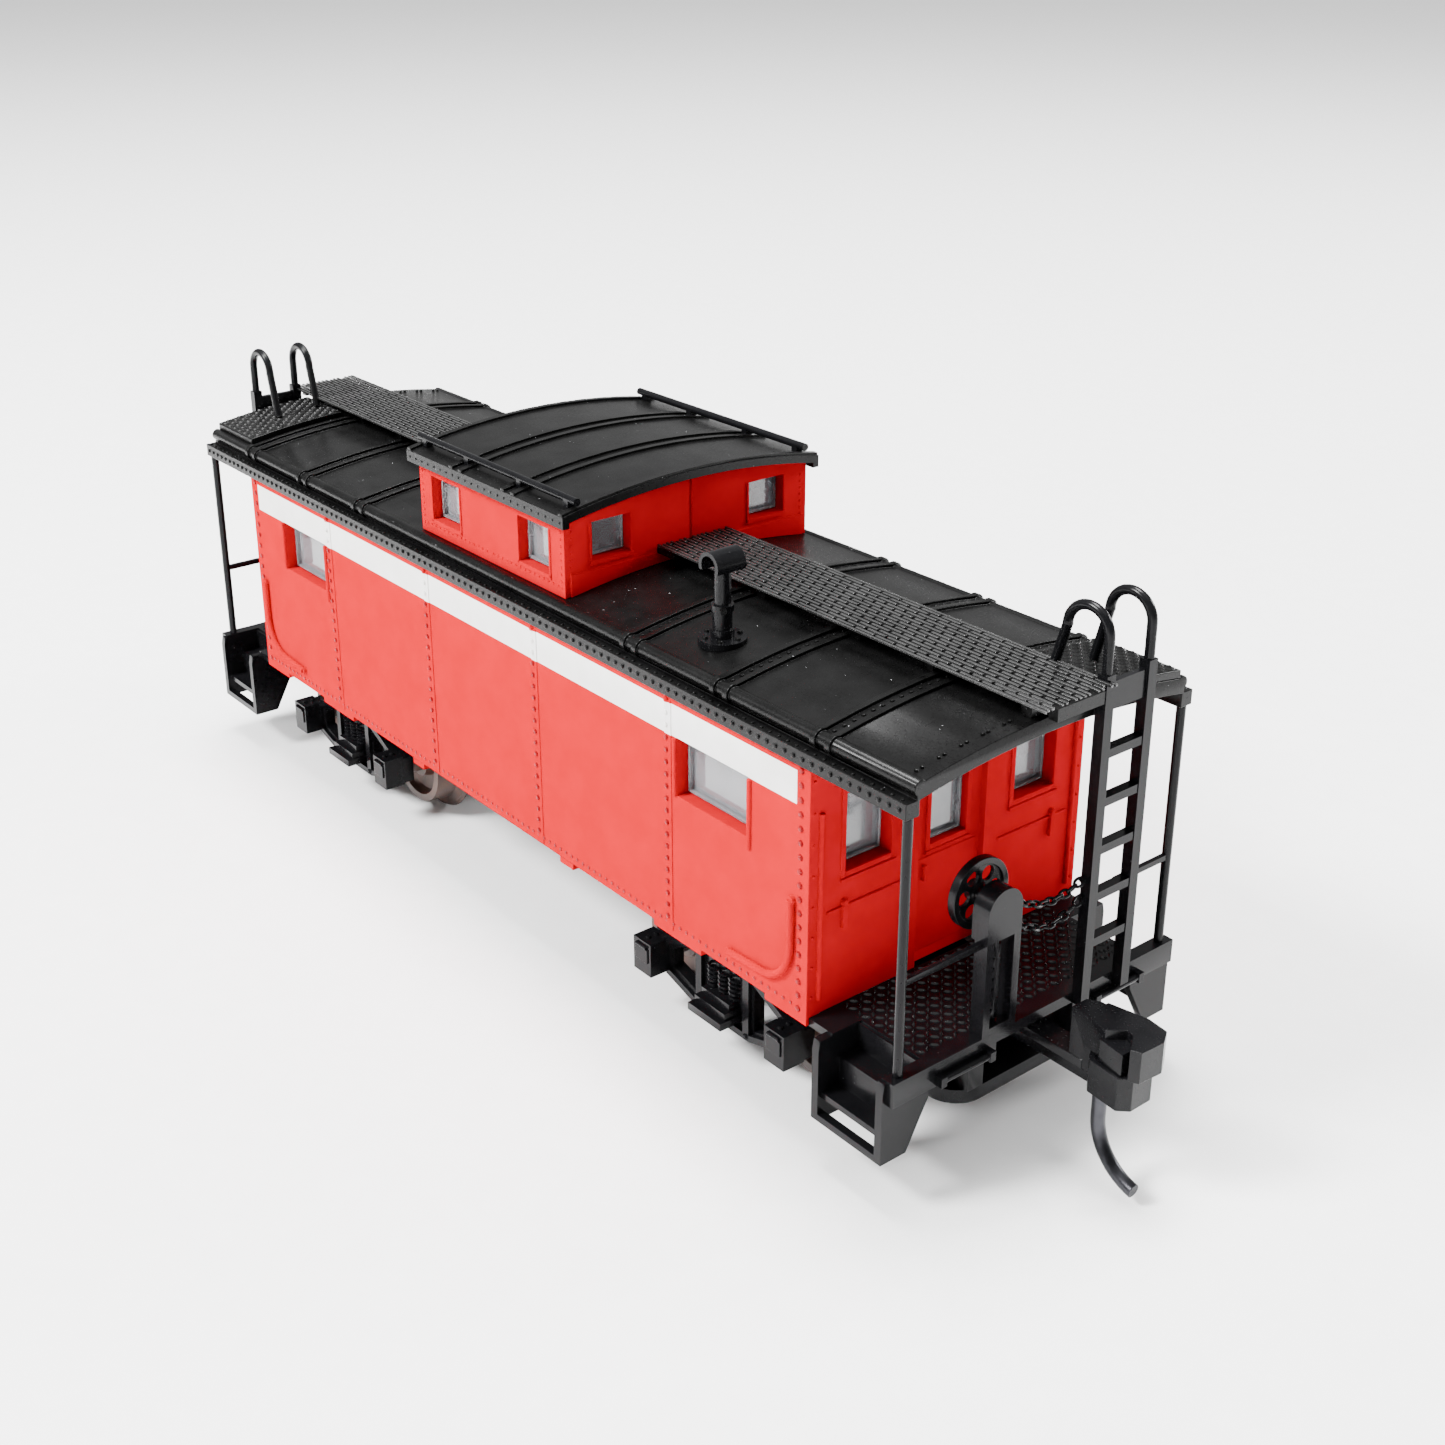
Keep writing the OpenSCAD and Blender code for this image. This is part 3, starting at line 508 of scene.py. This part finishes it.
def window_beads():
    """The raised rim moulded on the clear strips inside each window."""
    pile = Pile()
    rim, depth, inset = 0.14, 0.22, 0.08

    def rim_box(low, high, axis, outward):
        """A rectangular rim; axis is the wall's normal, 0 for X and 1 for Y."""
        other = 1 - axis
        for a0, a1, z0, z1 in (
            (low[other], low[other] + rim, low[2], high[2]),
            (high[other] - rim, high[other], low[2], high[2]),
            (low[other] + rim, high[other] - rim, low[2], low[2] + rim),
            (low[other] + rim, high[other] - rim, high[2] - rim, high[2]),
        ):
            start, end = [0, 0, z0], [0, 0, z1]
            start[other], end[other] = a0, a1
            start[axis], end[axis] = sorted((low[axis], low[axis] + outward * depth))
            pile.box(start, end)

    inner_y = BODY_Y - WALL
    for x in (-SIDE_WINDOW_X, SIDE_WINDOW_X):
        half = SIDE_WINDOW_W / 2 - 0.1
        rim_box((x - half, -inner_y, SIDE_WINDOW_Z[0] + 0.1),
                (x + half, 0, SIDE_WINDOW_Z[1] - 0.1), 1, -1)
    inner_x = BODY_X - WALL
    for y, width, z in ((-END_WINDOW_Y, END_WINDOW_W, END_WINDOW_Z),
                        (END_WINDOW_Y, END_WINDOW_W, END_WINDOW_Z),
                        (0, DOOR_WINDOW_W, DOOR_WINDOW_Z)):
        half = width / 2 - inset
        rim_box((inner_x, y - half, z[0] + inset), (0, y + half, z[1] - inset), 0, 1)
    cupola_y = CUPOLA_HIGH.y - CUPOLA_WALL
    for x in (-CUPOLA_SIDE_X, CUPOLA_SIDE_X):
        half = CUPOLA_SIDE_W / 2 - inset
        rim_box((x - half, -cupola_y, CUPOLA_SIDE_Z[0] + inset),
                (x + half, 0, CUPOLA_SIDE_Z[1] - inset), 1, -1)
    for y in (-CUPOLA_END_Y, CUPOLA_END_Y):
        half = CUPOLA_END_W / 2 - inset
        rim_box((CUPOLA_X - CUPOLA_WALL, y - half, CUPOLA_END_Z[0] + inset),
                (0, y + half, CUPOLA_END_Z[1] - inset), 0, 1)
    return pile


bead_pile = window_beads()
bead_pile.both_ends()
bead_pile.piece("window_beads", CLEAR, ROOT, "clear_windows", bevel=0.02)


# ---- roof, boards and cupola ----


def roof_normal(y):
    """The roof's outward direction over a point y across the car."""
    return (0, y / ROOF_R, 1)


def roof_rivets():
    """Rivets of one half of the roof (the +X end)."""
    pile = Pile()
    strap_y, end_y, shelf_y = 7.7, 7.5, 8.72
    end_x, eave_z = ROOF_X - 0.75, (EAVE_BOTTOM + SHELF_Z) / 2
    for x in STRAPS:
        for y in steps(-strap_y, strap_y, 0.55):
            pile.rivet((x, y, roof_z(y)), roof_normal(y), r=0.11, h=0.09)
    for y in steps(-end_y, end_y, 1.3):
        for dy in (-0.16, 0.16):
            pile.rivet((end_x, y + dy, roof_z(y + dy)), roof_normal(y), r=0.1, h=0.12)
    for side in (-1, 1):
        for x in steps(0.3, ROOF_X - 0.4, 0.58):
            pile.rivet((x, side * ROOF_Y, eave_z), (0, side, 0), r=0.12, h=0.09)
            pile.rivet((x, side * shelf_y, SHELF_Z), (0, 0, 1), r=0.1, h=0.08)
    return pile


def board_grid():
    """Raised bars of the running board's grid, in staggered rows, on the +X end."""
    pile = Pile()
    random.seed(4)
    top = BOARD_HIGH.z
    x0, x1, half = BOARD_LOW.x, BOARD_HIGH.x, BOARD_HIGH.y
    bay, gap, bar, row, edge, stagger = 1.3, 0.13, 0.15, 0.29, 0.13, 0.37
    low, high = top - 0.01, top + 0.12
    for k, y in enumerate(steps(-half + row, half - row, row)):
        start = x0 - bay + bay * ((k * stagger) % 1.0)
        for i in range(int((x1 - x0) / bay) + 3):
            a = max(start + i * bay + gap, x0 + 0.05)
            b = min(start + (i + 1) * bay - random.uniform(0.0, 0.05), x1 - 0.05)
            if b - a > 0.25:
                pile.box((a, y - bar / 2, low), (b, y + bar / 2, high))
    for y in (-half, half - edge):
        pile.box((x0, y, low), (x1, y + edge, high))
    return pile


LOZENGE_FACES = [(0, 1, 4), (1, 2, 5), (1, 5, 4), (2, 3, 5), (3, 0, 4), (3, 4, 5), (0, 3, 2, 1)]


def lozenges(pile, x_range, y_range, pitch, height, size=(0.2, 0.065, 0.08)):
    """Raised diamond treads, alternating left and right; height(y) is the surface."""
    long, wide, tall = size
    for i, x in enumerate(steps(*x_range, pitch)):
        for j, y in enumerate(steps(*y_range, pitch)):
            lean = math.radians(45 if (i + j) % 2 else -45)
            c, s = math.cos(lean), math.sin(lean)
            z = height(y)
            ends = [(long, 0, 0.0), (0, wide, 0.0), (-long, 0, 0.0), (0, -wide, 0.0)]
            ridge = [(long * 0.55, 0, tall), (-long * 0.55, 0, tall)]
            verts = [(x + u * c - v * s, y + u * s + v * c, z - 0.01 + w)
                     for u, v, w in ends + ridge]
            pile.add(verts, LOZENGE_FACES)


roof_pile = roof_rivets()
roof_pile.both_ends()
roof_pile.piece("roof_rivets", ROOF_BLACK, ROOT, "black_fittings")
grid_pile = board_grid()
grid_pile.both_ends()
grid_pile.piece("running_board_grids", BOARD_BLACK, ROOT, "black_fittings", bevel=0.03)
walk_pile = Pile()
WALK_RIM, WALK_T = 0.25, 0.42
lozenges(walk_pile, (WALK_LOW.x + WALK_RIM, WALK_HIGH.x - WALK_RIM),
         (WALK_LOW.y + WALK_RIM, WALK_HIGH.y - WALK_RIM), 0.36, lambda y: roof_z(y) + WALK_T)
walk_pile.both_ends()
walk_pile.piece("corner_walk_treads", TREAD_BLACK, ROOT, "black_fittings")
deck_pile = Pile()
DECK_X, DECK_Y = 31.0, 6.6
lozenges(deck_pile, (BODY_X + 0.3, DECK_X), (-DECK_Y, DECK_Y), 0.42,
         lambda y: DECK_TOP, (0.23, 0.08, 0.1))
deck_pile.both_ends()
deck_pile.piece("deck_treads", TREAD_BLACK, ROOT, "black_fittings")


def cupola_details():
    """Rivets, eave rivets and window frames of the cupola's +X half."""
    rivets, eaves, frames = Pile(), Pile(), Pile()
    border, proud = 0.13, 0.06
    y_face, corner_y, foot_z = CUPOLA_HIGH.y, 7.4, 20.95
    for side in (-1, 1):
        for z in steps(20.9, 23.8, 0.36):
            rivets.rivet((CUPOLA_X, side * corner_y, z), (1, 0, 0), r=0.07, h=0.05)
            rivets.rivet((CUPOLA_X - 0.3, side * y_face, z), (0, side, 0), r=0.07, h=0.05)
        for x in steps(0.3, 6.2, 0.42):
            rivets.rivet((x, side * y_face, foot_z), (0, side, 0), r=0.065, h=0.05)
        for x in steps(0.3, CUPOLA_ROOF_HIGH.x - 0.3, 0.6):
            eaves.rivet((x, side * CUPOLA_ROOF_HIGH.y, CUPOLA_ROOF_LOW.z + 0.3),
                        (0, side, 0), r=0.08, h=0.05)
        low, high = side * CUPOLA_END_Y - CUPOLA_END_W / 2, side * CUPOLA_END_Y + CUPOLA_END_W / 2
        z0, z1 = CUPOLA_END_Z
        frames.box((CUPOLA_X, low - border, z0 - border), (CUPOLA_X + proud, low, z1))
        frames.box((CUPOLA_X, high, z0 - border), (CUPOLA_X + proud, high + border, z1))
        frames.box((CUPOLA_X, low - border, z0 - border - 0.1),
                   (CUPOLA_X + 2 * proud, high + border, z0))
        low, high = CUPOLA_SIDE_X - CUPOLA_SIDE_W / 2, CUPOLA_SIDE_X + CUPOLA_SIDE_W / 2
        z0, z1 = CUPOLA_SIDE_Z
        face = sorted((side * y_face, side * (y_face + proud)))
        frames.box((low - border, face[0], z0 - border), (low, face[1], z1))
        frames.box((high, face[0], z0 - border), (high + border, face[1], z1))
        frames.box((low - border, face[0], z0 - border - 0.1), (high + border, face[1], z0))
    return rivets, eaves, frames


cupola_rivets, cupola_eaves, cupola_frames = cupola_details()
for part in (cupola_rivets, cupola_eaves, cupola_frames):
    part.both_ends()
cupola_eaves.piece("cupola_eave_rivets", ROOF_BLACK, ROOT, "black_fittings")
cupola_rivets.piece("cupola_rivets", RED, ROOT, "red_body")
cupola_frames.piece("cupola_window_frames", RED, ROOT, "red_body", bevel=0.02)


def jack_details():
    """Flange bolts and clamp screw of the smoke jack."""
    pile = Pile()
    x, y = (JACK_LOW.x + JACK_HIGH.x) / 2, (JACK_LOW.y + JACK_HIGH.y) / 2
    flange_top, clamp_z, bolt_circle = 20.95, 22.4, 0.88
    for k in range(6):
        turn = math.radians(60 * k + 15)
        spot = (x + bolt_circle * math.cos(turn), y + bolt_circle * math.sin(turn), flange_top)
        pile.rivet(spot, (0, 0, 1), r=0.14, h=0.14)
    pile.tube([(x + 0.4, y - 0.3, clamp_z), (x + 0.62, y - 0.42, clamp_z)], 0.16)
    pile.tube([(x - 0.4, y + 0.3, clamp_z), (x - 0.6, y + 0.42, clamp_z)], 0.14)
    return pile


jack_details().piece("smoke_jack_bolts", ROOF_BLACK, ROOT, "black_fittings")


# ---- trucks ----


COIL_R, COIL_Z, COIL_HEIGHT = 0.27, 3.4, 1.2
COIL_POINTS, COIL_POINTS_PER_TURN = 40, 8


def truck_details(sign):
    """Bolts, journal lids and springs on both side frames of one truck."""
    bolts, lids = Pile(), Pile()
    centre = sign * TRUCK_X
    bar_face, lid_face, spring_face, lid_t = 7.2, 8.2, 7.0, 0.08
    for side in (-1, 1):
        for x in (-AXLE_X, AXLE_X):
            low, high = sorted((side * lid_face, side * (lid_face + lid_t)))
            lids.box((centre + x - 0.5, low, AXLE_Z - 0.2), (centre + x + 0.5, high, AXLE_Z + 0.6))
            pin_y, pin_z = side * (lid_face + lid_t / 2), AXLE_Z + 0.68
            bolts.tube([(centre + x - 0.4, pin_y, pin_z), (centre + x + 0.4, pin_y, pin_z)], 0.1)
            for y in (7.3, 7.8):
                bolts.rivet((centre + x, side * y, AXLE_Z + 0.95), (0, 0, 1), r=0.15, h=0.12)
        for x in (-1.8, 1.8):
            for z in (1.8, 5.25):
                bolts.rivet((centre + x, side * bar_face, z), (0, side, 0), r=0.16, h=0.12)
        for x in (-0.8, 0.0, 0.8):
            coil = []
            for k in range(COIL_POINTS + 1):
                turn = 2 * math.pi * k / COIL_POINTS_PER_TURN
                coil.append((centre + x + COIL_R * math.cos(turn),
                             side * (spring_face + COIL_R * math.sin(turn)),
                             COIL_Z + COIL_HEIGHT * k / COIL_POINTS))
            bolts.tube(coil, 0.08, sides=6)
    return bolts, lids


for end, sign in ENDS.items():
    bolts, lids = truck_details(sign)
    bolts.piece(f"truck_{end}_bolts", BLACK, f"truck_{end}", "black_fittings")
    lids.piece(f"truck_{end}_lids", BLACK, f"truck_{end}", "black_fittings", bevel=0.04)


# ---- chains ----


def ring(pile, centre, along, flat, long, wide, wire, sides=7, around=18):
    """One oval chain link: along and flat are unit vectors in its plane."""
    normal = along.cross(flat)
    verts, faces = [], []
    for i in range(around):
        a = 2 * math.pi * i / around
        spoke = (along * math.cos(a) * long + flat * math.sin(a) * wide)
        outward = (along * math.cos(a) * wide + flat * math.sin(a) * long).normalized()
        for k in range(sides):
            b = 2 * math.pi * k / sides
            verts.append(centre + spoke + (outward * math.cos(b) + normal * math.sin(b)) * wire)
    for i in range(around):
        j = (i + 1) % around
        for k in range(sides):
            m = (k + 1) % sides
            faces.append((i * sides + k, j * sides + k, j * sides + m, i * sides + m))
    pile.add(verts, faces)


# The chains hang between two X positions; each row is the height of both ends, and the sag.
CHAIN_X0, CHAIN_X1 = 31.75, 32.1
CHAINS = ((12.55, 12.5, 0.55), (11.5, 11.6, 0.75))
CHAIN_LINKS = 9


def chains():
    """The two sagging safety chains of end A, link by link."""
    pile = Pile()
    low, high = box_mm("safety_chains_a")
    y0, y1 = low.y, high.y
    for z0, z1, sag in CHAINS:
        def at(u):
            return Vector((CHAIN_X0 + (CHAIN_X1 - CHAIN_X0) * u, y0 + (y1 - y0) * u,
                           z0 + (z1 - z0) * u - 4 * sag * u * (1 - u)))
        for i in range(CHAIN_LINKS):
            u = (i + 0.5) / CHAIN_LINKS
            along = (at(u + 0.02) - at(u - 0.02)).normalized()
            side = along.cross(Vector((1, 0, 0))).normalized()
            across = along.cross(side)
            lean = math.radians(25 if i % 2 else 115)
            flat = side * math.cos(lean) + across * math.sin(lean)
            ring(pile, at(u), along, flat, 0.27, 0.17, 0.07)
    for z0, z1, _ in CHAINS:
        pile.tube([(CHAIN_X0, y0, z0), (CHAIN_X0, y0 + 0.12, z0)], 0.16)
        pile.tube([(CHAIN_X1, y1 - 0.12, z1), (CHAIN_X1, y1, z1)], 0.16)
    return pile


def chain_piece(end):
    """The links of one end, standing for that end's chain node."""
    pile = chains()
    if end == "b":
        pile.verts = [(-x, -y, z) for x, y, z in pile.verts]
    obj = pile.piece(f"chain_links_{end}", GLOSS_BLACK, ROOT, "black_fittings")
    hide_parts(f"safety_chains_{end}")


for end in ENDS:
    chain_piece(end)


# ---- stage ----


LENS, CAMERA_SHIFT_Y = 46.81, -0.0709
CAMERA_AT = (0.07835, -0.05583, 0.05388)
CAMERA_LOOK = (-0.72097, 0.58363, -0.37361)
CAR_MIDDLE, CAR_END_MIDDLE = (0, 0, 0.012), (0.02, 0, 0.012)
WORLD_STRENGTH = 0.62


def floor():
    """A wide pale floor at the wheel flanges' lowest points."""
    n = plastic("pale_floor", grey(0.86), grey(0.84), 0.7)
    mesh = bpy.data.meshes.new("floor")
    reach = 3.0
    corners = [(-reach, -reach, 0), (reach, -reach, 0), (reach, reach, 0), (-reach, reach, 0)]
    mesh.from_pydata(corners, [], [(0, 1, 2, 3)])
    mesh.materials.append(n.material)
    obj = bpy.data.objects.new("floor", mesh)
    bpy.context.scene.collection.objects.link(obj)


def soft_light(name, at, target, size, watts):
    """A round soft box that points at a target."""
    light = bpy.data.lights.new(name, "AREA")
    light.shape = "DISK"
    light.size = size
    light.energy = watts
    obj = bpy.data.objects.new(name, light)
    obj.location = at
    obj.rotation_euler = (Vector(target) - Vector(at)).to_track_quat("-Z", "Y").to_euler()
    bpy.context.scene.collection.objects.link(obj)


def overhead(strength, spread):
    """A wide, even light from above, so the far floor stays as pale as the near floor."""
    light = bpy.data.lights.new("overhead", "SUN")
    light.energy = strength
    light.angle = spread
    bpy.context.scene.collection.objects.link(bpy.data.objects.new("overhead", light))


def camera():
    """The photograph's camera, as fitted to the straight edges seen in it."""
    data = bpy.data.cameras.new("camera")
    data.lens = LENS
    data.sensor_width = 36.0
    data.shift_y = CAMERA_SHIFT_Y
    data.clip_start = 0.002
    obj = bpy.data.objects.new("camera", data)
    obj.location = CAMERA_AT
    obj.rotation_euler = Vector(CAMERA_LOOK).to_track_quat("-Z", "Y").to_euler()
    bpy.context.scene.collection.objects.link(obj)
    bpy.context.scene.camera = obj


floor()
world = bpy.data.worlds.new("studio")
world.use_nodes = True
background = world.node_tree.nodes["Background"]
background.inputs["Color"].default_value = (1.0, 1.0, 1.0, 1.0)
background.inputs["Strength"].default_value = WORLD_STRENGTH
bpy.context.scene.world = world
overhead(strength=1.6, spread=1.2)
soft_light("key", (-0.10, -0.27, 0.28), CAR_MIDDLE, size=0.12, watts=5.2)
soft_light("top", (-0.05, 0.04, 0.42), CAR_MIDDLE, size=0.18, watts=5.6)
soft_light("end", (0.14, 0.36, 0.16), CAR_END_MIDDLE, size=0.10, watts=1.5)
camera()
